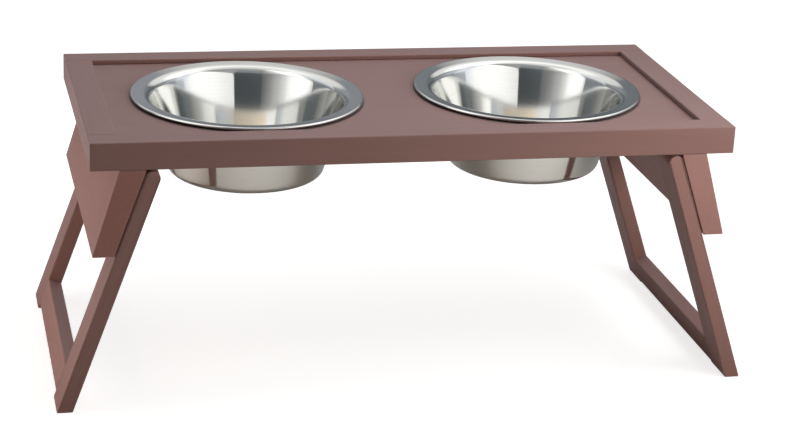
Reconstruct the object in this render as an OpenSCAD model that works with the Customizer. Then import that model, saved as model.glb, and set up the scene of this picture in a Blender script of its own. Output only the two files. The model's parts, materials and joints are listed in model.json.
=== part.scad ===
// Raised dog feeder: a framed tray with two lift-out bowls on a pair of folding legs.
// Millimetres. The origin is on the floor under the middle of the tray.
// X runs along the tray, Y from front (-) to back (+) and Z up.
// Left and front pieces are modelled, and the right and back ones are their mirror images.

/* [Tray] */
// Length of the tray over its rails
tray_l = 600; // [590:1:640]
// Depth of the tray over its rails
tray_d = 289; // [280:1:340]
// Height of the tray's top above the floor
tray_h = 257; // [250:1:262]
// Height of the four rails
rail_h = 26; // [25:0.5:32]
// Width of the four rails
rail_w = 26; // [22:0.5:28]
// Step from the top of the rails down to the deck
deck_recess = 4.7; // [2:0.1:6]
// Thickness of the deck panel
deck_t = 12; // [9:0.5:13]
// Depth of the groove that holds the deck's edge
groove_depth = 8; // [5:0.5:10]
// Solid end of a long rail that the groove stops short of
groove_stop = 6; // [4:0.5:9]
// Radius of the eased edges of all boards
ease_r = 1.2; // [0.6:0.1:2]

/* [Legs] */
// Lean of the open legs from upright, in degrees
leg_lean = 19.5; // [15:0.5:22]
// Thickness of the leg boards
leg_t = 14; // [12:0.5:17]
// Width of a stile, front to back
stile_w = 38; // [32:1:46]
// Width of the stretcher, along the leg
stretcher_w = 27; // [22:1:34]
// Distance of the stretcher from the foot's outer tip, along the leg
stretcher_lift = 6.3; // [6:0.1:12]
// Distance of the pivots from the tray's end
pivot_inset = 55.5; // [52:0.5:58]
// Gap between a stile's round top and the rail above it
pivot_gap = 1.5; // [1:0.1:4]

/* [Braces] */
// Height of a brace below the rails
brace_h = 81; // [60:1:110]
// Thickness of a brace along its lower edge
brace_foot_t = 20; // [14:0.5:24]
// Gap between a brace and the leg that stops against it
stop_gap = 0.8; // [0.4:0.1:1.5]

/* [Pivots] */
// Diameter of a pivot pin
pin_d = 6; // [4:0.5:7]
// Depth of a pin's blind bore in its stile
bore_depth = 26; // [16:1:32]
// Clearance past the end of a pin in its bore
bore_end_gap = 0.5; // [0.3:0.1:1]
// Width of a pivot lug, front to back
lug_w = 22; // [18:1:28]
// Reach of a lug's foot past its pivot
lug_foot_l = 25; // [22:1:32]
// Thickness of a lug's foot
lug_foot_t = 10; // [7:0.5:12]
// Gap between a stile and the lug beside it
side_gap = 0.6; // [0.4:0.1:1]

/* [Bowls] */
// Distance between the centres of the two bowls
bowl_spacing = 276.4; // [268:0.2:300]
// Outer radius of a bowl's rim
rim_r = 110.7; // [105:0.1:113]
// Radius of the rolled edge of the rim
bead_r = 1.4; // [1.2:0.1:1.8]
// Height of the rolled edge above the deck
bead_lift = 1.3; // [0.5:0.1:1.5]
// Slope of the flange down towards the mouth, in degrees
flange_slope = 6; // [0:0.5:8]
// Inner radius of a bowl's wall, carried up to the top of the rim
mouth_r = 93.5; // [86:0.5:97]
// Depth of a bowl from its rim to its base
bowl_depth = 77.5; // [60:0.5:90]
// Slope of a bowl's wall from upright, in degrees
wall_lean = 15; // [8:0.5:20]
// Radius between a bowl's wall and its base, on the outside
base_r = 9; // [4:0.5:16]
// Radius of the lip between a bowl's wall and its flange
lip_r = 9; // [7:0.5:11]
// Thickness of a bowl's sheet metal
sheet_t = 0.8; // [0.6:0.1:1.2]

/* [Fasteners] */
// Diameter of a screw's shank
screw_d = 3.5; // [3:0.5:4]
// Diameter of a screw's countersunk head
screw_head_d = 7; // [6:0.5:7.5]
// Length of a brace screw
brace_screw_l = 40; // [34:1:44]
// Distance between neighbouring brace screws
brace_screw_pitch = 68; // [50:1:75]
// Length of a lug screw
lug_screw_l = 20; // [16:1:21]
// Distance between the two screws of a lug
lug_screw_pitch = 11; // [9:0.5:12]
// Diameter of a stretcher dowel
dowel_d = 6; // [5:0.5:8]
// Length of a stretcher dowel
dowel_l = 30; // [24:1:40]
// Distance between the two dowels of a stretcher's end
dowel_pitch = 13; // [10:0.5:14]

/* [Fits] */
// Clearance around the deck and the tenons in their grooves
panel_clear = 0.2; // [0.1:0.05:0.4]
// Clearance around a pin, screw or dowel in a hole that holds it
fit_clear = 0.03; // [0.02:0.01:0.06]
// Clearance around a pin in the bore that turns on it
run_clear = 0.06; // [0.03:0.01:0.1]
// Gap between a bowl's lip and the edge of the hole that it rests on
seat_gap = 0.3; // [0.2:0.05:0.5]

/* [Hidden] */

$fn = 96;
board_colour = "#85655c";
steel_colour = "#c4c6c8";
zinc_colour = "#9a9da0";
beech_colour = "#cfae80";

// Corners of an eased edge and of a bent sheet are drawn with this many steps
ease_steps = 4;
bend_steps = 10;
// Amount that a cutting shape reaches past the face that it cuts
past = 1;
// Taper at the ends of pins and dowels
end_taper = 0.6;
// Cross recess of a screw head: its width and depth
recess_w = 0.9;
recess_depth = 1.4;
brace_screw_count = 3;

// Inner opening of the tray's frame
inner_l = tray_l - 2 * rail_w;
inner_d = tray_d - 2 * rail_w;
// Heights of the rails' underside and of the deck's two faces
rail_base = tray_h - rail_h;
deck_top = tray_h - deck_recess;
deck_base = deck_top - deck_t;

// Pivot axis, which runs along Y through the centre of a stile's round top
pivot_x = -(tray_l / 2 - pivot_inset);
pivot_z = rail_base - pivot_gap - leg_t / 2;
// Distance along the leg from the pivot to its outer and inner foot tips
foot_rise = leg_t / 2 * sin(leg_lean);
leg_outer_l = (pivot_z + foot_rise) / cos(leg_lean);
leg_inner_l = (pivot_z - foot_rise) / cos(leg_lean);
// Middle of the stretcher, measured along the leg from the pivot
stretcher_mid = leg_outer_l - stretcher_lift - stretcher_w / 2;
// Inboard face of the front stile
stile_in_y = -(tray_d / 2 - stile_w);

// Tongue of a brace, which stands between the long rails under the deck
tongue_mid_z = (rail_base + deck_base) / 2;
brace_top_in = stop_face_x(rail_base);
brace_low_in = stop_face_x(rail_base - brace_h);
brace_top_out = -inner_l / 2;

// Lug beside the front stile
lug_front_y = stile_in_y + side_gap;
lug_mid_y = lug_front_y + lug_w / 2;
lug_foot_base = deck_base - lug_foot_t;
lug_screw_x = pivot_x + (leg_t / 2 + lug_foot_l) / 2;

// Bowl levels
rim_top = deck_top + bead_lift + 2 * bead_r;
bowl_base = rim_top - bowl_depth;
wall_shift = sheet_t / cos(wall_lean);
// Directions that the inside of a bowl's wall and the top of its flange face
wall_way = [-cos(wall_lean), sin(wall_lean)];
flange_way = [-sin(flange_slope), cos(flange_slope)];
// Centres of the rolled edge and of the lip, which lies one radius behind wall and flange
bead_centre = [rim_r - bead_r, rim_top - bead_r];
lip_centre = meeting(
    wall_way, wall_way * [mouth_r, rim_top] - lip_r,
    flange_way, flange_way * bead_centre + bead_r - lip_r
);
// Hole in the deck, whose upper edge carries the lip
lip_seat_r = lip_r - sheet_t - seat_gap;
hole_r = lip_centre[0] - sqrt(pow(lip_seat_r, 2) - pow(deck_top - lip_centre[1], 2));

// X of the plane that stops the left leg, at height z: the leg's outer face and the gap
function stop_face_x(z) =
    pivot_x - (leg_t / 2 + stop_gap) / cos(leg_lean) - (pivot_z - z) * tan(leg_lean);

function unit(v) = v / norm(v);

// Point p for which a * p = ka and b * p = kb
function meeting(a, ka, b, kb) =
    [ka * b[1] - kb * a[1], kb * a[0] - ka * b[0]] / (a[0] * b[1] - a[1] * b[0]);

// Points of an arc about c, from angle a0 to a1
function arc(c, r, a0, a1, steps) =
    [for (i = [0 : steps]) let (a = a0 + (a1 - a0) * i / steps) c + r * [cos(a), sin(a)]];

// Arc that eases corner b between its neighbours a and c
function eased_corner(a, b, c, r) =
    let (
        u = unit(a - b),
        v = unit(c - b),
        half = acos(u * v) / 2,
        centre = b + unit(u + v) * r / sin(half),
        from = b + u * r / tan(half) - centre,
        to = b + v * r / tan(half) - centre,
        a0 = atan2(from[1], from[0]),
        turn = atan2(to[1], to[0]) - a0,
        sweep = turn > 180 ? turn - 360 : turn < -180 ? turn + 360 : turn
    )
    arc(centre, r, a0, a0 + sweep, ease_steps);

// Outline p with every corner eased
function eased(p, r = ease_r) =
    let (n = len(p))
    [for (i = [0 : n - 1]) each eased_corner(p[(i + n - 1) % n], p[i], p[(i + 1) % n], r)];

// Centred rectangle with eased corners
module board_section(w, h) {
    polygon(eased([[-w, -h] / 2, [w, -h] / 2, [w, h] / 2, [-w, h] / 2]));
}

// Carries an outline drawn in X and Z from y0 to y1
module along_y(y0, y1) {
    translate([0, y1, 0])
        rotate([90, 0, 0])
            linear_extrude(y1 - y0) children();
}

// Block between two opposite corners
module block(low, high) {
    translate(low) cube(high - low);
}

module mirror_right() {
    mirror([1, 0, 0]) children();
}

module mirror_back() {
    mirror([0, 1, 0]) children();
}

module front_and_back() {
    children();
    mirror_back() children();
}

// Frame of the left leg: origin on the pivot, Z along the leg, outer face at -X
module in_left_leg() {
    translate([pivot_x, 0, pivot_z])
        rotate([0, leg_lean, 0]) children();
}

// Round rod along Z from 0 to l with tapered ends
module rod(d, l) {
    rotate_extrude()
        polygon([
            [0, 0], [d / 2 - end_taper, 0], [d / 2, end_taper],
            [d / 2, l - end_taper], [d / 2 - end_taper, l], [0, l]
        ]);
}

// Outline of a countersunk screw, grown by c all round: head at z 0, tip at z = l
module screw_form(l, c = 0) {
    shank_r = screw_d / 2;
    head_r = screw_head_d / 2;
    rotate_extrude()
        polygon([
            [0, -c], [head_r + c, -c], [shank_r + c, head_r - shank_r],
            [shank_r + c, l - screw_d], [0, l + c]
        ]);
}

module screw(l) {
    difference() {
        screw_form(l);
        for (turn = [0, 90])
            rotate([0, 0, turn])
                block(
                    [-screw_head_d / 4, -recess_w / 2, -past],
                    [screw_head_d / 4, recess_w / 2, recess_depth]
                );
    }
}

// Places of the left brace's screws, pointing outwards into the end rail
module at_brace_screws() {
    for (i = [0 : brace_screw_count - 1])
        translate([
            brace_top_in,
            (i - (brace_screw_count - 1) / 2) * brace_screw_pitch,
            tongue_mid_z
        ])
            rotate([0, -90, 0]) children();
}

// Places of the front left lug's screws, pointing up into the deck
module at_lug_screws() {
    for (side = [-1, 1])
        translate([lug_screw_x, lug_mid_y + side * lug_screw_pitch / 2, lug_foot_base])
            children();
}

// Places of the front dowels in the left leg, centred on the joint, along Y
module at_leg_dowels() {
    for (side = [-1, 1])
        translate([0, stile_in_y - dowel_l / 2, -stretcher_mid + side * dowel_pitch / 2])
            rotate([-90, 0, 0]) children();
}

module dowel_hole() {
    translate([0, 0, -bore_end_gap])
        cylinder(h = dowel_l + 2 * bore_end_gap, d = dowel_d + 2 * fit_clear);
}

// Tray: the front long rail, with a groove that stops short of its ends
module long_rail() {
    groove_l = tray_l - 2 * groove_stop;
    color(board_colour)
        difference() {
            translate([0, -(tray_d - rail_w) / 2, rail_base + rail_h / 2])
                rotate([0, 90, 0])
                    linear_extrude(tray_l, center = true) board_section(rail_h, rail_w);
            block(
                [-groove_l / 2, -inner_d / 2 - groove_depth - panel_clear, deck_base - panel_clear],
                [groove_l / 2, -inner_d / 2 + past, deck_top + panel_clear]
            );
        }
}

// Tray: the left end rail, with a groove for the deck and a stub tenon at each end
module end_rail() {
    groove_bottom = -inner_l / 2 - groove_depth - panel_clear;
    color(board_colour)
        difference() {
            union() {
                translate([-(tray_l - rail_w) / 2, 0, rail_base + rail_h / 2])
                    rotate([90, 0, 0])
                        linear_extrude(inner_d, center = true) board_section(rail_w, rail_h);
                block(
                    [-tray_l / 2 + groove_stop + panel_clear, -inner_d / 2 - groove_depth, deck_base],
                    [groove_bottom, inner_d / 2 + groove_depth, deck_top]
                );
            }
            block(
                [groove_bottom, -inner_d / 2 - past, deck_base - panel_clear],
                [-inner_l / 2 + past, inner_d / 2 + past, deck_top + panel_clear]
            );
            at_brace_screws() screw_form(brace_screw_l, fit_clear);
        }
}

// Tray: the deck panel, let into the grooves all round, with two bowl holes
module deck_panel() {
    color(board_colour)
        difference() {
            block(
                [-inner_l / 2 - groove_depth, -inner_d / 2 - groove_depth, deck_base],
                [inner_l / 2 + groove_depth, inner_d / 2 + groove_depth, deck_top]
            );
            for (side = [-1, 1])
                translate([side * bowl_spacing / 2, 0, deck_base - past])
                    cylinder(h = deck_t + 2 * past, r = hole_r);
            front_and_back() {
                at_lug_screws() screw_form(lug_screw_l, fit_clear);
                mirror_right() at_lug_screws() screw_form(lug_screw_l, fit_clear);
            }
        }
}

// Brace: a tapered board that the left leg leans on, with a tongue up to the deck
module brace() {
    color(board_colour)
        difference() {
            union() {
                along_y(-tray_d / 2, tray_d / 2)
                    polygon(eased([
                        [brace_top_out, rail_base],
                        [brace_low_in - brace_foot_t, rail_base - brace_h],
                        [brace_low_in, rail_base - brace_h],
                        [brace_top_in, rail_base]
                    ]));
                block(
                    [brace_top_out, -inner_d / 2 + panel_clear, rail_base - 2 * ease_r],
                    [brace_top_in, inner_d / 2 - panel_clear, deck_base]
                );
            }
            at_brace_screws() screw_form(brace_screw_l, fit_clear);
        }
}

module brace_screws() {
    color(zinc_colour)
        at_brace_screws() screw(brace_screw_l);
}

// Lug: hangs from the deck beside the front left stile and holds its pivot pin
module pivot_lug() {
    r = leg_t / 2;
    pivot = [pivot_x, pivot_z];
    side = pivot + r * [-cos(leg_lean), sin(leg_lean)];
    color(board_colour)
        difference() {
            along_y(lug_front_y, lug_front_y + lug_w)
                polygon(concat(
                    arc(pivot, r, 180 - leg_lean, 360, 2 * bend_steps),
                    [
                        [pivot_x + r, lug_foot_base],
                        [pivot_x + lug_foot_l, lug_foot_base],
                        [pivot_x + lug_foot_l, deck_base],
                        [side[0] + (deck_base - side[1]) * tan(leg_lean), deck_base]
                    ]
                ));
            translate([pivot_x, lug_front_y - past, pivot_z])
                rotate([-90, 0, 0])
                    cylinder(h = lug_w + 2 * past, d = pin_d + 2 * fit_clear);
            at_lug_screws() screw_form(lug_screw_l, fit_clear);
        }
}

module lug_screws() {
    color(zinc_colour)
        front_and_back() at_lug_screws() screw(lug_screw_l);
}

// Pin: held in the front left lug, with its free end in the stile's blind bore
module pivot_pin() {
    pin_end = stile_in_y - bore_depth + bore_end_gap;
    color(zinc_colour)
        translate([pivot_x, pin_end, pivot_z])
            rotate([-90, 0, 0]) rod(pin_d, lug_front_y + lug_w - pin_end);
}

// Leg: the left front stile, with a round top and a foot cut level with the floor
module stile() {
    color(board_colour)
        in_left_leg()
            difference() {
                intersection() {
                    along_y(-tray_d / 2, stile_in_y) {
                        circle(leg_t / 2);
                        polygon([
                            [-leg_t / 2, 0], [-leg_t / 2, -leg_outer_l],
                            [leg_t / 2, -leg_inner_l], [leg_t / 2, 0]
                        ]);
                    }
                    translate([0, -(tray_d - stile_w) / 2, -leg_outer_l - past])
                        linear_extrude(leg_outer_l + leg_t + past) board_section(leg_t, stile_w);
                }
                translate([0, stile_in_y - bore_depth, 0])
                    rotate([-90, 0, 0])
                        cylinder(h = bore_depth + past, d = pin_d + 2 * run_clear);
                at_leg_dowels() dowel_hole();
            }
}

// Leg: the left stretcher, which joins the two stiles near the floor
module stretcher() {
    color(board_colour)
        in_left_leg()
            difference() {
                along_y(stile_in_y, -stile_in_y)
                    translate([0, -stretcher_mid]) board_section(leg_t, stretcher_w);
                front_and_back() at_leg_dowels() dowel_hole();
            }
}

module leg_dowels() {
    color(beech_colour)
        in_left_leg()
            front_and_back() at_leg_dowels() rod(dowel_d, dowel_l);
}

// Bowl: one pressed sheet with a rounded base, a sloping wall, a dished flange and a rolled edge
module bowl() {
    base_centre = [
        mouth_r + wall_shift - bowl_depth * tan(wall_lean) - base_r * tan(45 - wall_lean / 2),
        bowl_base + base_r
    ];
    color(steel_colour)
        rotate_extrude() {
            polygon(concat(
                [[0, bowl_base]],
                arc(base_centre, base_r, -90, -wall_lean, bend_steps),
                arc(lip_centre, lip_r - sheet_t, 180 - wall_lean, 90 + flange_slope, bend_steps),
                [bead_centre + (bead_r - sheet_t) * flange_way, bead_centre + bead_r * flange_way],
                arc(lip_centre, lip_r, 90 + flange_slope, 180 - wall_lean, bend_steps),
                arc(base_centre, base_r - sheet_t, -wall_lean, -90, bend_steps),
                [[0, bowl_base + sheet_t]]
            ));
            translate(bead_centre) circle(bead_r);
        }
}

module front_rail() { long_rail(); }
module back_rail() { mirror_back() long_rail(); }
module left_end_rail() { end_rail(); }
module right_end_rail() { mirror_right() end_rail(); }
module left_brace() { brace(); }
module right_brace() { mirror_right() brace(); }
module left_brace_screws() { brace_screws(); }
module right_brace_screws() { mirror_right() brace_screws(); }
module front_left_pivot_lug() { pivot_lug(); }
module back_left_pivot_lug() { mirror_back() pivot_lug(); }
module front_right_pivot_lug() { mirror_right() pivot_lug(); }
module back_right_pivot_lug() { mirror_right() mirror_back() pivot_lug(); }
module left_lug_screws() { lug_screws(); }
module right_lug_screws() { mirror_right() lug_screws(); }
module front_left_pivot_pin() { pivot_pin(); }
module back_left_pivot_pin() { mirror_back() pivot_pin(); }
module front_right_pivot_pin() { mirror_right() pivot_pin(); }
module back_right_pivot_pin() { mirror_right() mirror_back() pivot_pin(); }
module left_front_stile() { stile(); }
module left_back_stile() { mirror_back() stile(); }
module left_stretcher() { stretcher(); }
module left_leg_dowels() { leg_dowels(); }
module right_front_stile() { mirror_right() stile(); }
module right_back_stile() { mirror_right() mirror_back() stile(); }
module right_stretcher() { mirror_right() stretcher(); }
module right_leg_dowels() { mirror_right() leg_dowels(); }
module left_bowl() { translate([-bowl_spacing / 2, 0, 0]) bowl(); }
module right_bowl() { translate([bowl_spacing / 2, 0, 0]) bowl(); }

front_rail();
back_rail();
left_end_rail();
right_end_rail();
deck_panel();
left_brace();
right_brace();
left_brace_screws();
right_brace_screws();
front_left_pivot_lug();
back_left_pivot_lug();
front_right_pivot_lug();
back_right_pivot_lug();
left_lug_screws();
right_lug_screws();
front_left_pivot_pin();
back_left_pivot_pin();
front_right_pivot_pin();
back_right_pivot_pin();
left_front_stile();
left_back_stile();
left_stretcher();
left_leg_dowels();
right_front_stile();
right_back_stile();
right_stretcher();
right_leg_dowels();
left_bowl();
right_bowl();
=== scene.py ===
"""Looks of a raised dog feeder: stained boards, pressed steel bowls, fixings and a plain studio."""

import json
import math

import bpy
import numpy as np
from bpy.props import FloatProperty, FloatVectorProperty, IntProperty, PointerProperty
from mathutils import Matrix, Vector


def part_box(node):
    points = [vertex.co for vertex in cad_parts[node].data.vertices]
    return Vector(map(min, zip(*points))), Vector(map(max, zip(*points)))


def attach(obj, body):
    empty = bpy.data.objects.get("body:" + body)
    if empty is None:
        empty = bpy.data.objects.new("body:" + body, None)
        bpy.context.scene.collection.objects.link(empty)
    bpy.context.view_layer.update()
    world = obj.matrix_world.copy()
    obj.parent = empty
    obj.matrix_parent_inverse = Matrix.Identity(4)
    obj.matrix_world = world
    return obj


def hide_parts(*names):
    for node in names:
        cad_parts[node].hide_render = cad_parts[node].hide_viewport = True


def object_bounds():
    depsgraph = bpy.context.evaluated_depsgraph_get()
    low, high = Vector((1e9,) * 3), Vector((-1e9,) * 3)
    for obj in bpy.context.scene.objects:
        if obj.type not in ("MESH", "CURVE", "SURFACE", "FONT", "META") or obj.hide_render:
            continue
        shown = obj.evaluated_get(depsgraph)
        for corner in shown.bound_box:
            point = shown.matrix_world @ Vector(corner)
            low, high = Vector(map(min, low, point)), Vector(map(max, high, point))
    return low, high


bl_info = {
    "name": "Raised Feeder",
    "version": (1, 0, 0),
    "blender": (4, 5, 0),
    "location": "3D View > Sidebar > Feeder",
    "description": "Dresses the solids of a folding raised feeder with boards, bowls and a studio",
    "category": "Object",
}

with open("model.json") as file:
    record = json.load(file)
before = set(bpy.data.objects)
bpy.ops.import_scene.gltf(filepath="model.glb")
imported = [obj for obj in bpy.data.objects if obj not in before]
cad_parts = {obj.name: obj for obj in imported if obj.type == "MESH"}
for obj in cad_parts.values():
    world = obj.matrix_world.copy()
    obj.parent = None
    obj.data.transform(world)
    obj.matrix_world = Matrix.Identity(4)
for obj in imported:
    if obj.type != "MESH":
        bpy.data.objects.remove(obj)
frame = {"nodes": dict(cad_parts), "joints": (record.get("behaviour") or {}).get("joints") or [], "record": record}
cad_low, cad_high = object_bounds()

# A millimetre in the frame's unit, the metre
MM = 0.001
QUARTER_TURN = math.pi / 2

LONG_RAILS = ["front_rail", "back_rail"]
CROSS_BOARDS = ["left_end_rail", "right_end_rail", "right_stretcher"]
LEFT_STILES = ["left_front_stile", "left_back_stile"]
RIGHT_STILES = ["right_front_stile", "right_back_stile"]
LUGS = ["front_left_pivot_lug", "back_left_pivot_lug",
        "front_right_pivot_lug", "back_right_pivot_lug"]
FIXINGS = ["left_brace_screws", "right_brace_screws", "left_lug_screws", "right_lug_screws",
           "front_left_pivot_pin", "back_left_pivot_pin",
           "front_right_pivot_pin", "back_right_pivot_pin"]
DOWELS = ["left_leg_dowels", "right_leg_dowels"]
BOWLS = ["left_bowl", "right_bowl"]


def linear(colour):
    """Linear RGB of an sRGB hex colour, by the standard's two-part curve."""
    srgb = np.array([int(colour[i:i + 2], 16) for i in (1, 3, 5)]) / 255
    return tuple(np.where(srgb <= 0.04045, srgb / 12.92, ((srgb + 0.055) / 1.055) ** 2.4))


def rgba(colour):
    """A colour property as the four numbers that a socket takes."""
    return (*colour, 1.0)


def add(tree, kind, inputs=None, **settings):
    """Adds a node: settings are its own properties, and inputs are values or other nodes' sockets."""
    node = tree.nodes.new("ShaderNode" + kind)
    for name, value in settings.items():
        setattr(node, name, value)
    for key, value in (inputs or {}).items():
        if isinstance(value, bpy.types.NodeSocket):
            tree.links.new(value, node.inputs[key])
        else:
            node.inputs[key].default_value = value
    return node


def new_material(name):
    """An empty node material and its tree."""
    material = bpy.data.materials.new(name)
    material.use_nodes = True
    material.node_tree.nodes.clear()
    return material, material.node_tree


def dress(node, material):
    """Gives a CAD node one material in place of its plain one."""
    node.data.materials.clear()
    node.data.materials.append(material)


class FeederBoards(bpy.types.PropertyGroup):
    """Stain, grain and eased edges of the boards"""

    stain_deep: FloatVectorProperty(
        name="Deep stain", description="Colour in the dark lines of the grain",
        subtype="COLOR", size=3, min=0, max=1, default=linear("#8A6157"))
    stain_light: FloatVectorProperty(
        name="Light stain", description="Colour between the lines of the grain",
        subtype="COLOR", size=3, min=0, max=1, default=linear("#956A60"))
    # Worn edges, made paler still as a painted highlight
    stain_rubbed_and_highlight: FloatVectorProperty(
        name="Rubbed stain and painted highlight", description="Colour where the edges are rubbed thin",
        subtype="COLOR", size=3, min=0, max=1, default=linear("#A87F74"))
    # Painted shade: the deck darkened in a ring under each bowl's rim, where the rolled edge shades it
    rim_shade_colour: FloatVectorProperty(
        name="Painted rim shade", description="Colour of the deck painted as shade under the bowls' rims",
        subtype="COLOR", size=3, min=0, max=1, default=linear("#2E211E"))
    grain_width: FloatProperty(
        name="Grain width", description="Distance between the lines of the grain",
        unit="LENGTH", precision=5, min=0.2 * MM, default=1.7 * MM)
    grain_length: FloatProperty(
        name="Grain length", description="Length of a line of the grain",
        unit="LENGTH", precision=4, min=5 * MM, default=95 * MM)
    edge_radius: FloatProperty(
        name="Edge radius", description="Radius of the eased cut ends",
        unit="LENGTH", precision=5, min=0.1 * MM, default=0.8 * MM)
    roughness: FloatProperty(
        name="Roughness", description="Roughness of the satin lacquer",
        subtype="FACTOR", min=0, max=1, default=0.5)


class FeederBowls(bpy.types.PropertyGroup):
    """Sizes and finish of the pressed steel bowls"""

    mouth_radius: FloatProperty(
        name="Mouth radius",
        description="Inner radius of the mouth, where the wall would meet the flange",
        unit="LENGTH", precision=5, default=93.5 * MM)
    wall_lean: FloatProperty(
        name="Wall lean", description="Slope of the wall from upright",
        subtype="ANGLE", default=math.radians(15))
    base_radius: FloatProperty(
        name="Base radius", description="Outer radius between the wall and the base",
        unit="LENGTH", precision=5, default=9 * MM)
    lip_radius: FloatProperty(
        name="Lip radius", description="Radius of the lip between the wall and the flange",
        unit="LENGTH", precision=5, default=9 * MM)
    flange_slope: FloatProperty(
        name="Flange slope", description="Slope of the flange down towards the mouth",
        subtype="ANGLE", default=math.radians(6))
    bead_radius: FloatProperty(
        name="Bead radius", description="Radius of the rolled edge",
        unit="LENGTH", precision=5, default=1.4 * MM)
    sheet: FloatProperty(
        name="Sheet", description="Thickness of the sheet steel",
        unit="LENGTH", precision=5, default=0.8 * MM)
    around: IntProperty(
        name="Steps around", description="Number of steps round the bowl", min=24, default=192)
    steel: FloatVectorProperty(
        name="Polished steel", description="Reflection colour of the polished inside",
        subtype="COLOR", size=3, min=0, max=1, default=linear("#DADAD7"))
    steel_satin: FloatVectorProperty(
        name="Satin steel", description="Reflection colour of the satin outside",
        subtype="COLOR", size=3, min=0, max=1, default=linear("#E0DCD4"))
    brush_width: FloatProperty(
        name="Brush width", description="Distance between the brush lines, as they show in a picture",
        unit="LENGTH", precision=5, min=0.1 * MM, default=0.9 * MM)


class FeederStage(bpy.types.PropertyGroup):
    """Camera and light of the studio"""

    camera_place: FloatVectorProperty(
        name="Camera place", description="Where the camera stands",
        subtype="TRANSLATION", size=3, precision=5, default=(-0.45552, -1.90693, 0.83709))
    camera_yaw: FloatProperty(
        name="Camera yaw", description="Turn of the view to the right of +Y",
        subtype="ANGLE", default=math.radians(13.922))
    camera_pitch: FloatProperty(
        name="Camera pitch", description="Tilt of the view below the horizon",
        subtype="ANGLE", default=math.radians(20.005))
    camera_roll: FloatProperty(
        name="Camera roll", description="Turn of the camera about its line of sight",
        subtype="ANGLE", default=math.radians(2.823))
    focal_length: FloatProperty(
        name="Focal length", description="Lens length in millimetres on a 36 mm wide sensor",
        default=95.23)
    ambient: FloatProperty(
        name="Ambient light", description="Strength of the white surroundings on the boards",
        default=0.07)
    right_light: FloatProperty(
        name="Right light", description="Brightness of the soft box at the front right",
        default=2.6)
    left_light: FloatProperty(
        name="Left light", description="Brightness of the warm soft box at the left", default=3.7)
    top_light: FloatProperty(
        name="Top light", description="Brightness of the soft box overhead", default=1.25)
    back_light: FloatProperty(
        name="Back light", description="Brightness of the low strip box behind", default=0.9)


class FeederSettings(bpy.types.PropertyGroup):
    """All settings of the feeder"""

    boards: PointerProperty(
        name="Boards", description="Stain, grain and eased edges of the boards", type=FeederBoards)
    bowls: PointerProperty(
        name="Bowls", description="Sizes and finish of the pressed steel bowls", type=FeederBowls)
    stage: PointerProperty(
        name="Stage", description="Camera and light of the studio", type=FeederStage)


def stained_board(name, turn, tone, boards, rim_shade=None):
    """Stained softwood under a satin lacquer, planed along the grain.

    It gives the eye a russet ground with faint darker lines along the board, slow changes of
    tone, a soft sheen and slightly paler edges, worn and painted as a highlight. Turn is the
    rotation that lays the grain on X, and tone is the board's own share of the stain's colour, in
    all or in red, green and blue.
    Rim shade is a function that adds the nodes of a share by which the stain is darkened further, as painted
    shade.
    """
    material, tree = new_material(name)
    place = add(tree, "TexCoord").outputs["Object"]
    along = add(tree, "Mapping", {"Vector": place, "Rotation": turn}).outputs["Vector"]
    line = 1 / boards.grain_width
    length = 1 / boards.grain_length
    lines_at = add(tree, "VectorMath", {0: along, 1: (length, line, line)},
                   operation="MULTIPLY").outputs[0]
    lines = add(tree, "TexNoise", {"Vector": lines_at, "Scale": 1.0, "Detail": 3.0, "Roughness": 0.55})
    # Slow changes of tone, about 20 grain lines wide and 3 grain lengths long
    slow_at = add(tree, "VectorMath", {0: lines_at, 1: (0.3, 0.05, 0.05)},
                  operation="MULTIPLY").outputs[0]
    slow = add(tree, "TexNoise", {"Vector": slow_at, "Scale": 1.0, "Detail": 2.0})
    both = add(tree, "Mix", {"Factor": 0.5, 2: lines.outputs["Fac"], 3: slow.outputs["Fac"]}).outputs[0]
    spread = add(tree, "MapRange", {"Value": both, "From Min": 0.25, "From Max": 0.75}).outputs[0]
    deep, light, rubbed_and_highlight = (rgba(np.multiply(tone, stain)) for stain in (
        boards.stain_deep, boards.stain_light, boards.stain_rubbed_and_highlight))
    stain = add(tree, "Mix", {"Factor": spread, 6: deep, 7: light}, data_type="RGBA").outputs[2]
    # An edge is where the normal, averaged over a small radius, leaves the face's own
    averaged = add(tree, "Bevel", {"Radius": 2 * boards.edge_radius}, samples=6).outputs["Normal"]
    facing = add(tree, "NewGeometry").outputs["True Normal"]
    likeness = add(tree, "VectorMath", {0: averaged, 1: facing},
                   operation="DOT_PRODUCT").outputs["Value"]
    edge = add(tree, "MapRange", {"Value": likeness, "From Min": 1.0, "From Max": 0.8,
                                  "To Max": 0.75}).outputs[0]
    # Wear and painted highlight: the edges paler than the stain
    colour = add(tree, "Mix", {"Factor": edge, 6: stain, 7: rubbed_and_highlight}, data_type="RGBA").outputs[2]
    # Painted shade under the bowls' rims, darkening the stain
    if rim_shade:
        colour = add(tree, "Mix", {"Factor": rim_shade(tree, place), 6: colour, 7: rgba(boards.rim_shade_colour)},
                     data_type="RGBA").outputs[2]
    rough = add(tree, "MapRange", {"Value": lines.outputs["Fac"], "To Min": boards.roughness + 0.05,
                                   "To Max": boards.roughness - 0.05}).outputs[0]
    relief = add(tree, "Bump", {"Height": lines.outputs["Fac"], "Strength": 0.12,
                                "Distance": 0.15 * MM}).outputs["Normal"]
    shader = add(tree, "BsdfPrincipled", {
        "Base Color": colour, "Roughness": rough, "Normal": relief, "IOR": 1.5,
        "Sheen Weight": 0.2, "Sheen Roughness": 0.5, "Sheen Tint": rgba(linear("#E4ECFF"))})
    add(tree, "OutputMaterial", {"Surface": shader.outputs[0]})
    return material


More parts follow.
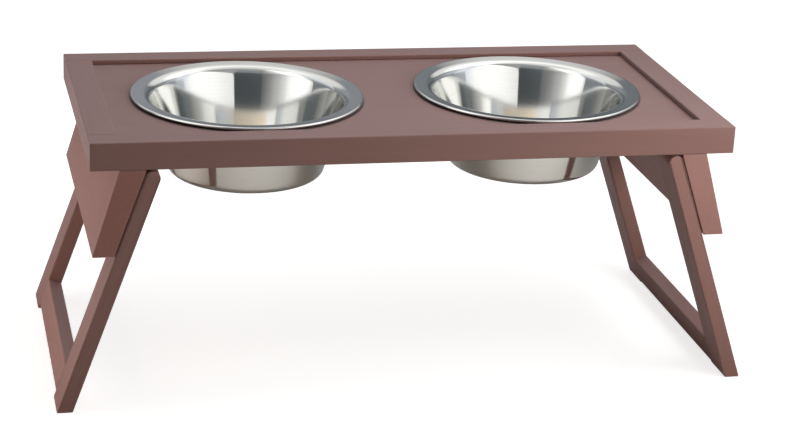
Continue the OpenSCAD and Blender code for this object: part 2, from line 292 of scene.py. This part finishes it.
def painted_rim_shade(tree, place):
    """Share of painted shade on top of the deck: most under each bowl's rim, fading inwards, and 0 elsewhere.

    It darkens the deck where the rolled edge shades it, and stays when a bowl is lifted. Both rings
    come from one distance, the length of (|x| - bowl x, y), and patches about 25 mm across make them
    uneven.
    """
    low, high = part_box("right_bowl")
    rim = (high.x - low.x) / 2
    deck_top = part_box("deck_panel")[1].z
    folded = add(tree, "VectorMath", {0: place}, operation="ABSOLUTE").outputs[0]
    offset = add(tree, "VectorMath", {0: folded, 1: ((low.x + high.x) / 2, 0, 0)},
                 operation="SUBTRACT").outputs[0]
    level = add(tree, "VectorMath", {0: offset, 1: (1, 1, 0)}, operation="MULTIPLY").outputs[0]
    away = add(tree, "VectorMath", {0: level}, operation="LENGTH").outputs["Value"]
    inner = add(tree, "MapRange", {"Value": away, "From Min": rim - 15 * MM,
                                   "From Max": rim - 4 * MM}).outputs[0]
    patches = add(tree, "TexNoise", {"Vector": place, "Scale": 1 / (25 * MM),
                                     "Detail": 2.0}).outputs["Fac"]
    strength = add(tree, "MapRange", {"Value": patches, "From Min": 0.3, "From Max": 0.6,
                                      "To Min": 0.6, "To Max": 0.85}).outputs[0]
    outer = add(tree, "MapRange", {"Value": away, "From Min": rim + 0.3 * MM, "From Max": rim + 1.3 * MM,
                                   "To Min": 1.0, "To Max": 0.0}).outputs[0]
    ring = add(tree, "Math", {0: inner, 1: outer}, operation="MULTIPLY").outputs[0]
    uneven = add(tree, "Math", {0: ring, 1: strength}, operation="MULTIPLY").outputs[0]
    height = add(tree, "SeparateXYZ", {0: place}).outputs["Z"]
    on_top = add(tree, "Math", {0: height, 1: deck_top - 1 * MM}, operation="GREATER_THAN").outputs[0]
    return add(tree, "Math", {0: uneven, 1: on_top}, operation="MULTIPLY").outputs[0]


def ease_cut_edges(board, radius):
    """Rounds a board's sharp edges: joins its triangles, clears flat seams, then bevels."""
    weld = board.modifiers.new("weld", "WELD")
    weld.merge_threshold = 0.002 * MM
    flat = board.modifiers.new("flat", "DECIMATE")
    flat.decimate_type = "DISSOLVE"
    flat.angle_limit = math.radians(0.5)
    ease = board.modifiers.new("ease", "BEVEL")
    ease.width = radius
    ease.segments = 3
    ease.limit_method = "ANGLE"
    ease.angle_limit = math.radians(40)
    ease.use_clamp_overlap = False
    ease.harden_normals = True


def leg_lean():
    """Lean of the open legs, from the left hinge and the left front foot."""
    hinge = next(j["pos_m"] for j in frame["joints"] if j["name"] == "left_leg_fold")
    foot = next(m["pos_m"] for m in frame["record"]["mounts"] if m["name"] == "front_left_foot")
    return math.atan2(hinge[0] - foot[0], hinge[2] - foot[2])


class FEEDER_OT_boards(bpy.types.Operator):
    """Stains the boards of the tray, braces and legs, each along its own grain, and eases their ends"""

    bl_idname = "feeder.boards"
    bl_label = "Boards"

    def execute(self, context):
        boards = context.scene.feeder.boards
        lean = leg_lean()
        # Name, turn that lays the grain on X, tone and boards of each group
        groups = [
            ("stained_softwood_long", (0, 0, 0), 1.0, LONG_RAILS + LUGS),
            ("stained_softwood_deck", (0, 0, 0), 1.0, ["deck_panel"]),
            ("stained_softwood_cross", (0, 0, -QUARTER_TURN), 1.0, CROSS_BOARDS),
            ("stained_softwood_left_stretcher", (0, 0, -QUARTER_TURN), 1.28, ["left_stretcher"]),
            ("stained_softwood_left_brace", (0, 0, -QUARTER_TURN), (1.3, 1.14, 1.06), ["left_brace"]),
            ("stained_softwood_right_brace", (0, 0, -QUARTER_TURN), 1.4, ["right_brace"]),
            ("stained_softwood_left_stile", (0, QUARTER_TURN - lean, 0), 1.15, LEFT_STILES),
            ("stained_softwood_right_stile", (0, QUARTER_TURN + lean, 0), 1.2, RIGHT_STILES),
        ]
        for name, turn, tone, nodes in groups:
            # Only the deck gets the painted shade under the bowls' rims
            rim_shade = painted_rim_shade if "deck_panel" in nodes else None
            material = stained_board(name, turn, tone, boards, rim_shade)
            for node in nodes:
                dress(frame["nodes"][node], material)
                if node not in LUGS:
                    ease_cut_edges(frame["nodes"][node], boards.edge_radius)
        return {"FINISHED"}


def zinc_plate():
    """Zinc-plated steel: a dull blue-grey metal with a soft mottled bloom."""
    material, tree = new_material("zinc_plated_steel")
    place = add(tree, "TexCoord").outputs["Object"]
    # The plating's bloom is about 3 mm across
    bloom = add(tree, "TexNoise", {"Vector": place, "Scale": 1 / (3 * MM), "Detail": 4.0}).outputs["Fac"]
    colour = add(tree, "Mix", {"Factor": bloom, 6: rgba(linear("#8F9499")), 7: rgba(linear("#B9BCC0"))},
                 data_type="RGBA").outputs[2]
    rough = add(tree, "MapRange", {"Value": bloom, "To Min": 0.28, "To Max": 0.48}).outputs[0]
    shader = add(tree, "BsdfPrincipled", {"Base Color": colour, "Metallic": 1.0, "Roughness": rough})
    add(tree, "OutputMaterial", {"Surface": shader.outputs[0]})
    return material


def beech():
    """Plain beech: pale tan with short dark flecks along the dowel."""
    material, tree = new_material("beech")
    place = add(tree, "TexCoord").outputs["Object"]
    # Flecks are about 3 mm long and 0.5 mm wide
    flecks_at = add(tree, "VectorMath", {0: place, 1: (1 / (0.5 * MM), 1 / (3 * MM), 1 / (0.5 * MM))},
                    operation="MULTIPLY").outputs[0]
    flecks = add(tree, "TexNoise", {"Vector": flecks_at, "Scale": 1.0, "Detail": 2.0}).outputs["Fac"]
    colour = add(tree, "Mix", {"Factor": flecks, 6: rgba(linear("#B98F5E")), 7: rgba(linear("#DDBF94"))},
                 data_type="RGBA").outputs[2]
    shader = add(tree, "BsdfPrincipled", {"Base Color": colour, "Roughness": 0.6})
    add(tree, "OutputMaterial", {"Surface": shader.outputs[0]})
    return material


class FEEDER_OT_fixings(bpy.types.Operator):
    """Plates the screws and pins, and makes the dowels of beech"""

    bl_idname = "feeder.fixings"
    bl_label = "Fixings"

    def execute(self, context):
        for nodes, material in ((FIXINGS, zinc_plate()), (DOWELS, beech())):
            for node in nodes:
                dress(frame["nodes"][node], material)
        return {"FINISHED"}


def arc(centre, radius, start, stop, steps):
    """Points at equal steps on a circle, from one angle to another, in degrees."""
    angle = np.radians(np.linspace(start, stop, steps))
    return np.column_stack([centre[0] + radius * np.cos(angle), centre[1] + radius * np.sin(angle)])


def run(start, stop, steps):
    """Points at equal steps on a straight line, without its two ends."""
    return np.linspace(start, stop, steps + 2)[1:-1]


def bowl_profile(rim_radius, rim_top, base, bowls):
    """Half section of a bowl as radius and height, and the number of its points on the outside.

    From the axis it follows the base, the base radius, the wall and the underside of the flange
    on the outside, goes round the rolled edge, and comes back by the flange, the lip, the wall
    and the base on the inside.
    """
    lean, slope = bowls.wall_lean, bowls.flange_slope
    wall_angle = 180 - math.degrees(lean)
    flange_angle = 90 + math.degrees(slope)
    base_centre = (bowls.mouth_radius + bowls.sheet / math.cos(lean) - (rim_top - base) * math.tan(lean)
                   - bowls.base_radius * math.tan(math.pi / 4 - lean / 2), base + bowls.base_radius)
    bead_centre = np.array([rim_radius - bowls.bead_radius, rim_top - bowls.bead_radius])
    # The lip's centre lies one lip radius behind both the wall's face and the flange's face
    faces = np.array([[-math.cos(lean), math.sin(lean)], [-math.sin(slope), math.cos(slope)]])
    reach = np.array([faces[0] @ (bowls.mouth_radius, rim_top),
                      faces[1] @ bead_centre + bowls.bead_radius])
    lip_centre = np.linalg.solve(faces, reach - bowls.lip_radius)
    # The sheet's underside runs into the rolled edge where the two outlines cross
    tuck = math.degrees(math.acos(1 - bowls.sheet / bowls.bead_radius))
    # Number of points on a bend, and between bends on the base, the wall, the flange and under it
    bend, flat, wall, flange, under = 14, 12, 16, 8, 6
    outer_corner = arc(base_centre, bowls.base_radius, -90, wall_angle - 180, bend)
    under_lip = arc(lip_centre, bowls.lip_radius - bowls.sheet, wall_angle, flange_angle, bend)
    bead = arc(bead_centre, bowls.bead_radius, flange_angle + tuck - 360, flange_angle, 3 * bend)
    lip = arc(lip_centre, bowls.lip_radius, flange_angle, wall_angle, bend)
    inner_corner = arc(base_centre, bowls.base_radius - bowls.sheet, wall_angle - 180, -90, bend)
    outside = np.concatenate([
        run((0, base), outer_corner[0], flat), outer_corner,
        run(outer_corner[-1], under_lip[0], wall), under_lip,
        run(under_lip[-1], bead[0], under)])
    inside = np.concatenate([
        bead, run(bead[-1], lip[0], flange), lip,
        run(lip[-1], inner_corner[0], wall), inner_corner,
        run(inner_corner[-1], (0, base + bowls.sheet), flat)])
    return np.concatenate([outside, inside]), len(outside)


def revolve(name, profile, ends, centre, around):
    """A closed mesh: each profile point (r, z) carried round the axis as (r cos a, r sin a, z).

    Ends are the heights of the first and last point on the axis. The vector attribute brush holds
    cos a, sin a and the length along the profile, for patterns that run round the axis.
    """
    angle = np.linspace(0, 2 * np.pi, around, endpoint=False)
    circle = np.column_stack([np.cos(angle), np.sin(angle)])
    rings = len(profile)
    grid = np.empty((rings, around, 3))
    grid[..., :2] = profile[:, None, :1] * circle + centre
    grid[..., 2] = profile[:, 1:]
    poles = np.array([[*centre, ends[0]], [*centre, ends[1]]])
    index = np.arange(rings * around).reshape(rings, around)
    beside = np.roll(index, -1, axis=1)
    quads = np.stack([index[:-1], beside[:-1], beside[1:], index[1:]], axis=-1).reshape(-1, 4)
    first = np.full(around, rings * around)
    caps = np.concatenate([
        np.column_stack([first, beside[0], index[0]]),
        np.column_stack([first + 1, index[-1], beside[-1]])])
    mesh = bpy.data.meshes.new(name)
    mesh.from_pydata(np.concatenate([grid.reshape(-1, 3), poles]), [], quads.tolist() + caps.tolist())
    mesh.polygons.foreach_set("use_smooth", np.ones(len(mesh.polygons), bool))
    along = np.concatenate([[0], np.cumsum(np.linalg.norm(np.diff(profile, axis=0), axis=1))])
    brush = np.zeros((rings * around + 2, 3))
    brush[:-2, :2] = np.tile(circle, (rings, 1))
    brush[:-2, 2] = np.repeat(along, around)
    brush[-1, 2] = along[-1]
    mesh.attributes.new("brush", "FLOAT_VECTOR", "POINT").data.foreach_set("vector", brush.ravel())
    return mesh


def brushed_steel(name, colour, roughness, waviness, bowls):
    """Stainless sheet, spun against an abrasive belt so that fine lines run round the bowl.

    It gives the eye a bright grey mirror whose reflections smear up and down, faint rings, and
    slow waves left by the press.
    """
    material, tree = new_material(name)
    brush = add(tree, "Attribute", attribute_name="brush").outputs["Vector"]
    # Real lines are under 0.1 mm, and are drawn as wide as they need to show
    rings_at = add(tree, "VectorMath", {0: brush, 1: (3.0, 3.0, 1 / bowls.brush_width)},
                   operation="MULTIPLY").outputs[0]
    rings = add(tree, "TexNoise", {"Vector": rings_at, "Scale": 1.0, "Detail": 2.0}).outputs["Fac"]
    place = add(tree, "TexCoord").outputs["Object"]
    # The waves are about 60 mm long
    waves = add(tree, "TexNoise", {"Vector": place, "Scale": 1 / (60 * MM),
                                   "Detail": 1.0}).outputs["Fac"]
    # The tangent runs round the axis, across the radius that the attribute holds
    parts = add(tree, "SeparateXYZ", {0: brush})
    back = add(tree, "Math", {0: parts.outputs[1], 1: -1.0}, operation="MULTIPLY").outputs[0]
    round_axis = add(tree, "CombineXYZ", {0: back, 1: parts.outputs[0]}).outputs[0]
    tint = add(tree, "MapRange", {"Value": rings, "To Min": 0.86, "To Max": 1.0}).outputs[0]
    shade = add(tree, "VectorMath", {0: colour, "Scale": tint}, operation="SCALE").outputs[0]
    rough = add(tree, "MapRange", {"Value": rings, "To Min": roughness * 0.8,
                                   "To Max": roughness * 1.2}).outputs[0]
    wavy = add(tree, "Bump", {"Height": waves, "Strength": waviness,
                              "Distance": 1.0 * MM}).outputs["Normal"]
    relief = add(tree, "Bump", {"Height": rings, "Strength": 0.06, "Distance": 0.05 * MM,
                                "Normal": wavy}).outputs["Normal"]
    shader = add(tree, "BsdfPrincipled", {
        "Base Color": shade, "Metallic": 1.0, "Roughness": rough, "Normal": relief,
        "Anisotropic": 0.8, "Anisotropic Rotation": 0.25, "Tangent": round_axis})
    add(tree, "OutputMaterial", {"Surface": shader.outputs[0]})
    return material


class FEEDER_OT_bowls(bpy.types.Operator):
    """Spins the two bowls from one half section, polished inside and satin outside"""

    bl_idname = "feeder.bowls"
    bl_label = "Bowls"

    def execute(self, context):
        bowls = context.scene.feeder.bowls
        polished = brushed_steel("polished_stainless", bowls.steel, roughness=0.075,
                                 waviness=0.25, bowls=bowls)
        satin = brushed_steel("satin_stainless", bowls.steel_satin, roughness=0.12,
                              waviness=0.45, bowls=bowls)
        for node in BOWLS:
            low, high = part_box(node)
            centre = ((low + high) / 2).xy
            profile, outside = bowl_profile((high.x - low.x) / 2, high.z, low.z, bowls)
            ends = (low.z, low.z + bowls.sheet)
            mesh = revolve(node + "_shell", profile, ends, centre, bowls.around)
            mesh.materials.append(polished)
            mesh.materials.append(satin)
            # The satin outside is the first rows of faces and the cap under the base
            finish = np.zeros(len(mesh.polygons), np.int32)
            finish[:outside * bowls.around] = 1
            finish[-2 * bowls.around:-bowls.around] = 1
            mesh.polygons.foreach_set("material_index", finish)
            shell = bpy.data.objects.new(node + "_shell", mesh)
            context.scene.collection.objects.link(shell)
            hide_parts(node)
            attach(shell, node)
        return {"FINISHED"}


# Paints of the studio cards
WHITE = "#FFFFFF"
COOL = "#F0F6FF"
BLUE = "#E6F0F8"
TAN = "#FFF0DC"

# Corners of the ring of cards on the floor plan in metres, clockwise from the front as seen from above
FRONT = (0.02, -1.17)
FRONT_LEFT = (-0.86, -1.39)
LEFT = (-0.66, -0.24)
BACK_LEFT = (-0.72, 0.12)
FAR_LEFT = (-1.6, 1.6)
FAR_RIGHT = (1.6, 1.6)
RIGHT = (0.98, 0.0)
FRONT_RIGHT = (0.8, -0.22)

# Heights in metres of the tall cards, of the ceiling over them and of the low cards at the back
TALL = 2.2
CEILING = 1.34
LOW = 0.92


def stage_surface(name, corners, material):
    """A flat four-cornered surface of the stage."""
    mesh = bpy.data.meshes.new(name)
    mesh.from_pydata(corners, [], [(0, 1, 2, 3)])
    mesh.materials.append(material)
    surface = bpy.data.objects.new(name, mesh)
    bpy.context.scene.collection.objects.link(surface)
    return surface


def level_corners(near_left, far_right, height):
    """Corners of a level rectangle between two points of the floor plan."""
    (left, near), (right, far) = near_left, far_right
    return [(left, near, height), (right, near, height), (right, far, height), (left, far, height)]


def upright_corners(start, stop, low, high):
    """Corners of an upright rectangle between two points of the floor plan and two heights."""
    return [(*start, low), (*stop, low), (*stop, high), (*start, high)]


def card(name, corners, paint):
    """A stage surface that shows in reflections, and neither to the camera nor to matt surfaces."""
    surface = stage_surface(name, corners, paint)
    surface.visible_camera = False
    surface.visible_diffuse = False
    surface.visible_transmission = False
    surface.visible_shadow = False


def background_share(tree, mirrored):
    """1 to the camera and through glass, a given share in reflections, and 0 on matt surfaces."""
    path = add(tree, "LightPath").outputs
    direct = add(tree, "Math", {0: path["Is Camera Ray"], 1: path["Is Transmission Ray"]},
                 operation="MAXIMUM").outputs[0]
    return add(tree, "Math", {0: path["Is Glossy Ray"], 1: mirrored, 2: direct},
               operation="MULTIPLY_ADD", use_clamp=True).outputs[0]


def pale_paper():
    """Pale paper: to the eye white with a faint shadow, and greyer in the light that it throws back.

    In reflections it glows in front and at the left of the object, where light falls on the real
    floor. From below it is clear, so that the underside can be looked at.
    """
    material, tree = new_material("pale_paper")
    bounce = add(tree, "LightPath").outputs["Is Diffuse Ray"]
    colour = add(tree, "Mix", {"Factor": bounce, 6: rgba(linear("#DCDAD6")), 7: rgba(linear("#B8B6B2"))},
                 data_type="RGBA").outputs[2]
    matt = add(tree, "BsdfDiffuse", {"Color": colour}).outputs[0]
    place = add(tree, "TexCoord").outputs["Object"]
    # Its own glow grows outwards to the white of the surroundings
    away = add(tree, "VectorMath", {0: place}, operation="LENGTH").outputs["Value"]
    level = add(tree, "MapRange", {"Value": away, "From Min": 0.3, "From Max": 1.3,
                                   "To Min": 0.75, "To Max": 1.0}).outputs[0]
    spot = add(tree, "SeparateXYZ", {0: place}).outputs
    in_front = add(tree, "MapRange", {"Value": spot["Y"], "From Min": -0.1, "From Max": -0.4,
                                      "To Min": 0.0, "To Max": 0.6}).outputs[0]
    at_left = add(tree, "MapRange", {"Value": spot["X"], "From Min": -0.36, "From Max": -0.5,
                                     "To Min": 0.0, "To Max": 0.45}).outputs[0]
    mirrored = add(tree, "Math", {0: in_front, 1: at_left}, operation="MAXIMUM").outputs[0]
    share = background_share(tree, mirrored)
    shown = add(tree, "Math", {0: level, 1: share}, operation="MULTIPLY").outputs[0]
    glow = add(tree, "Emission", {"Strength": shown}).outputs[0]
    paper = add(tree, "AddShader", {0: matt, 1: glow}).outputs[0]
    below = add(tree, "NewGeometry").outputs["Backfacing"]
    clear = add(tree, "BsdfTransparent").outputs[0]
    floor = add(tree, "MixShader", {0: below, 1: paper, 2: clear}).outputs[0]
    add(tree, "OutputMaterial", {"Surface": floor})
    return material


def graded(tree, value, stops):
    """Colour and peak strength of a glow that follows a value through stops (value, level, colour)."""
    first, last = stops[0][0], stops[-1][0]
    peak = max(level for _, level, _ in stops)
    share = add(tree, "MapRange", {"Value": value, "From Min": first, "From Max": last}).outputs[0]
    ramp = add(tree, "ValToRGB", {"Fac": share})
    elements = ramp.color_ramp.elements
    between = [elements.new((at - first) / (last - first)) for at, _, _ in stops[1:-1]]
    for element, (_, level, colour) in zip([elements[0], *between, elements[-1]], stops):
        element.color = rgba(level / peak * np.array(linear(colour)))
    return ramp.outputs["Color"], peak


def card_paint(name, axis, stops, heights=((0, 1), (1, 1)), first=1):
    """Painted studio card, graded along an axis by stops, and in height by pairs of height and share.

    First is the reflection from which on the card shows: before that it is clear.
    """
    material, tree = new_material(name)
    place = add(tree, "SeparateXYZ", {0: add(tree, "TexCoord").outputs["Object"]}).outputs
    colour, peak = graded(tree, place[axis], stops)
    share, most = graded(tree, place["Z"], [(height, part, WHITE) for height, part in heights])
    level = add(tree, "Math", {0: share, 1: peak * most}, operation="MULTIPLY").outputs[0]
    paint = add(tree, "Emission", {"Color": colour, "Strength": level}).outputs[0]
    if first > 1:
        depth = add(tree, "LightPath").outputs["Ray Depth"]
        late = add(tree, "Math", {0: depth, 1: first - 0.5}, operation="GREATER_THAN").outputs[0]
        clear = add(tree, "BsdfTransparent").outputs[0]
        paint = add(tree, "MixShader", {0: late, 1: clear, 2: paint}).outputs[0]
    add(tree, "OutputMaterial", {"Surface": paint})
    return material


def ceiling_paint(name, centre, stops):
    """Painted ceiling, graded outwards from a centre on ovals twice as long as they are deep.

    Straight over the object it is dimmer, so that flat steel seen from above keeps its shading.
    """
    material, tree = new_material(name)
    place = add(tree, "TexCoord").outputs["Object"]
    offset = add(tree, "VectorMath", {0: place, 1: centre}, operation="SUBTRACT").outputs[0]
    oval = add(tree, "VectorMath", {0: offset, 1: (0.5, 1, 0)}, operation="MULTIPLY").outputs[0]
    away = add(tree, "VectorMath", {0: oval}, operation="LENGTH").outputs["Value"]
    colour, peak = graded(tree, away, stops)
    # The dimmer part is told by the distance from the object, which is least straight over it
    distance = add(tree, "VectorMath", {0: place}, operation="LENGTH").outputs["Value"]
    level = add(tree, "MapRange", {"Value": distance, "From Min": 1.36, "From Max": 1.5,
                                   "To Min": 0.6 * peak, "To Max": peak}).outputs[0]
    paint = add(tree, "Emission", {"Color": colour, "Strength": level}).outputs[0]
    add(tree, "OutputMaterial", {"Surface": paint})
    return material


def soft_box(name, place, facing, size, radiance, colour):
    """A rectangular area lamp of a given brightness, in reflections replaced by the cards."""
    width, height = size
    lamp = bpy.data.lights.new(name, "AREA")
    lamp.shape = "RECTANGLE"
    lamp.size = width
    lamp.size_y = height
    lamp.energy = radiance * math.pi * width * height
    lamp.color = linear(colour)
    box = bpy.data.objects.new(name, lamp)
    bpy.context.scene.collection.objects.link(box)
    box.location = place
    box.rotation_mode = "QUATERNION"
    box.rotation_quaternion = Vector(facing).to_track_quat("-Z", "Y")
    box.visible_camera = False
    box.visible_glossy = False


def white_surroundings(ambient):
    """White to the camera, dimmer in reflections, and weaker still on matt surfaces."""
    world = bpy.data.worlds.new("white_surroundings")
    world.use_nodes = True
    tree = world.node_tree
    tree.nodes.clear()
    share = background_share(tree, 0.45)
    strength = add(tree, "MapRange", {"Value": share, "To Min": ambient, "To Max": 1.0}).outputs[0]
    light = add(tree, "Background", {"Color": (1, 1, 1, 1), "Strength": strength}).outputs[0]
    add(tree, "OutputWorld", {"Surface": light})
    return world


class FEEDER_OT_stage(bpy.types.Operator):
    """Sets up the camera, a pale floor, white surroundings, four soft boxes and cards for the steel"""

    bl_idname = "feeder.stage"
    bl_label = "Stage"

    def execute(self, context):
        scene = context.scene
        stage = scene.feeder.stage
        scene.view_settings.view_transform = "Standard"
        # Light runs round the inside of a polished bowl by many reflections
        scene.cycles.glossy_bounces = 12
        self.place_camera(scene, stage)
        self.lay_floor()
        scene.world = white_surroundings(stage.ambient)
        self.hang_soft_boxes(stage)
        self.stand_cards()
        self.hang_ceiling()
        self.stand_late_cards()
        return {"FINISHED"}

    def lay_floor(self):
        """A wide floor just below the feet."""
        reach = 6.0
        drop = 0.2 * MM
        corners = level_corners((-reach, -reach), (reach, reach), cad_low.z - drop)
        stage_surface("floor", corners, pale_paper())

    def hang_soft_boxes(self, stage):
        """A tall box at the front right, a small warm one low at the left, one overhead, one behind."""
        soft_box("right_soft_box", (0.45, -0.42, 0.64), (-0.98, 0.21, 0), (0.64, 0.98),
                 stage.right_light, WHITE)
        soft_box("left_soft_box", (-0.68, -0.03, 0.12), (1, 0, 0), (0.40, 0.22),
                 stage.left_light, "#FFE4D6")
        soft_box("top_soft_box", (0.06, 0.26, 1.35), (0, 0, -1), (1.54, 1.1),
                 stage.top_light, "#F3F9FF")
        soft_box("back_strip_box", (0, 0.85, 0.16), (0, -1, 0), (1.4, 0.3),
                 stage.back_light, WHITE)

    def stand_cards(self):
        """A ring of cards to be reflected, as a photographer stands them round polished work."""
        dark = card_paint(
            "dark_paint", "Z", [(0.55, 0.11, BLUE), (0.85, 0.24, BLUE), (1.05, 0.42, BLUE)])
        card("dark_card", upright_corners(FRONT, FRONT_LEFT, 0, TALL), dark)
        white = card_paint(
            "white_paint", "X", [(0.02, 1.2, WHITE), (0.2, 1.35, WHITE), (0.35, 1.5, WHITE),
                                 (0.6, 1.6, WHITE), (0.7, 1.5, WHITE), (0.8, 1.25, COOL)],
            [(0.55, 1.0), (0.9, 1.05)])
        # Its top edge slopes down towards the dark card
        sloped = [(*FRONT, 0), (*FRONT_RIGHT, 0), (*FRONT_RIGHT, 1.6), (*FRONT, 0.56)]
        card("white_card", sloped, white)
        front_right = card_paint(
            "front_right_paint", "X", [(0.8, 1.3, COOL), (0.98, 1.1, COOL)], [(0.3, 0.4), (0.45, 1)])
        card("front_right_card", upright_corners(FRONT_RIGHT, RIGHT, 0, CEILING), front_right)
        left = card_paint(
            "left_paint", "Y", [(-1.39, 0.22, COOL), (-1.03, 0.31, WHITE), (-0.74, 0.44, WHITE),
                                (-0.6, 0.58, WHITE), (-0.45, 0.72, WHITE), (-0.31, 1.05, WHITE),
                                (-0.22, 1.5, WHITE), (-0.1, 1.7, WHITE), (0.0, 1.7, WHITE),
                                (0.06, 1.5, WHITE), (0.12, 0.9, WHITE)],
            [(0.42, 1), (0.58, 0.8), (1.0, 1.45)])
        card("front_left_card", upright_corners(FRONT_LEFT, LEFT, 0, TALL), left)
        card("left_card", upright_corners(LEFT, BACK_LEFT, 0, TALL), left)
        back_left = card_paint(
            "back_left_paint", "Z", [(0.3, 0.28, COOL), (0.45, 0.4, COOL), (0.9, 1.15, COOL)])
        card("back_left_card", upright_corners(BACK_LEFT, FAR_LEFT, 0, 1.3), back_left)
        back = card_paint(
            "back_paint", "X", [(-0.1, 0.42, COOL), (0.8, 0.24, BLUE)], [(0.25, 0.3), (0.65, 1)])
        card("back_card", upright_corners(FAR_LEFT, FAR_RIGHT, 0, LOW), back)
        right = card_paint(
            "right_paint", "X", [(0.98, 0.9, COOL), (1.2, 0.45, COOL), (1.6, 0.26, BLUE)],
            [(0.34, 0.5), (0.5, 1)])
        card("right_card", upright_corners(RIGHT, FAR_RIGHT, 0, LOW), right)

    def hang_ceiling(self):
        """A ceiling behind the front cards, brightest at the right of the object."""
        paint = ceiling_paint(
            "ceiling_paint", (0.8, 0.2, CEILING), [(0.2, 2.0, WHITE), (0.5, 1.65, WHITE),
                                                   (0.76, 1.4, WHITE), (1.0, 1.1, WHITE),
                                                   (1.8, 0.95, WHITE), (2.3, 0.5, WHITE)])
        card("ceiling_card", level_corners((-2.2, -0.15), (2.2, 2.4), CEILING), paint)

    def stand_late_cards(self):
        """Cards from the second reflection on.

        They paint reflections that show in the bowls only from the second reflection on.
        """
        tan = card_paint(
            "tan_paint", "X", [(-0.65, 1.0, TAN), (0.3, 1.35, TAN), (0.85, 1.7, TAN), (1.0, 2.1, TAN)],
            first=2)
        card("tan_card", level_corners((-0.65, 0.5), (1.0, 1.25), CEILING - 0.01), tan)
        white = card_paint(
            "late_white_paint", "X", [(0.19, 1.8, WHITE), (0.35, 2.2, WHITE), (0.65, 2.2, WHITE),
                                      (0.79, 1.9, WHITE)], first=2)
        card("late_white_card", upright_corners((0.19, -0.95), (0.79, -0.22), 0.3, 0.6), white)
        left = card_paint(
            "late_left_paint", "Z", [(0.33, 1.1, WHITE), (0.42, 0.45, WHITE), (0.55, 0.5, WHITE)],
            first=2)
        card("late_left_card", upright_corners((-0.65, -0.24), (-0.71, 0.12), 0.3, 0.55), left)
        front_left = card_paint(
            "late_front_left_paint", "Y", [(-1.0, 0.38, COOL), (-0.6, 0.48, WHITE), (-0.3, 0.66, WHITE)],
            first=2)
        tapered = [(-0.78, -1.0, 0.38), (-0.65, -0.24, 0.36), (-0.65, -0.24, 0.58), (-0.78, -1.0, 0.75)]
        card("late_front_left_card", tapered, front_left)

    def place_camera(self, scene, stage):
        """Turns the camera by yaw, pitch and roll, which gives its right, up and backward axes."""
        yaw, pitch, roll = stage.camera_yaw, stage.camera_pitch, stage.camera_roll
        ahead = Vector((
            math.sin(yaw) * math.cos(pitch), math.cos(yaw) * math.cos(pitch), -math.sin(pitch)))
        level = Vector((math.cos(yaw), -math.sin(yaw), 0))
        upright = level.cross(ahead)
        right = math.cos(roll) * level + math.sin(roll) * upright
        up = math.cos(roll) * upright - math.sin(roll) * level
        lens = bpy.data.cameras.new("camera")
        lens.sensor_width = 36
        lens.lens = stage.focal_length
        camera = bpy.data.objects.new("camera", lens)
        scene.collection.objects.link(camera)
        turned = Matrix((right, up, -ahead)).transposed().to_4x4()
        camera.matrix_world = Matrix.Translation(stage.camera_place) @ turned
        scene.camera = camera


class FEEDER_PT_panel(bpy.types.Panel):
    """Lists the feeder's pieces and their settings"""

    bl_idname = "FEEDER_PT_panel"
    bl_label = "Raised Feeder"
    bl_space_type = "VIEW_3D"
    bl_region_type = "UI"
    bl_category = "Feeder"

    def draw(self, context):
        settings = context.scene.feeder
        for operator in OPERATORS:
            self.layout.operator(operator.bl_idname)
        for group in (settings.boards, settings.bowls, settings.stage):
            box = self.layout.box()
            for name in group.__annotations__:
                box.prop(group, name)


OPERATORS = (FEEDER_OT_stage, FEEDER_OT_boards, FEEDER_OT_fixings, FEEDER_OT_bowls)
CLASSES = (FeederBoards, FeederBowls, FeederStage, FeederSettings, *OPERATORS, FEEDER_PT_panel)


def register():
    """Registers the classes, and gives each scene the feeder's settings."""
    for cls in CLASSES:
        bpy.utils.register_class(cls)
    bpy.types.Scene.feeder = PointerProperty(
        name="Feeder", description="All settings of the feeder", type=FeederSettings)


def unregister():
    """Takes back what register did."""
    del bpy.types.Scene.feeder
    for cls in reversed(CLASSES):
        bpy.utils.unregister_class(cls)


def main():
    """Builds the stage and the feeder."""
    register()
    bpy.ops.feeder.stage()
    bpy.ops.feeder.boards()
    bpy.ops.feeder.fixings()
    bpy.ops.feeder.bowls()


if __name__ == "__main__":
    main()
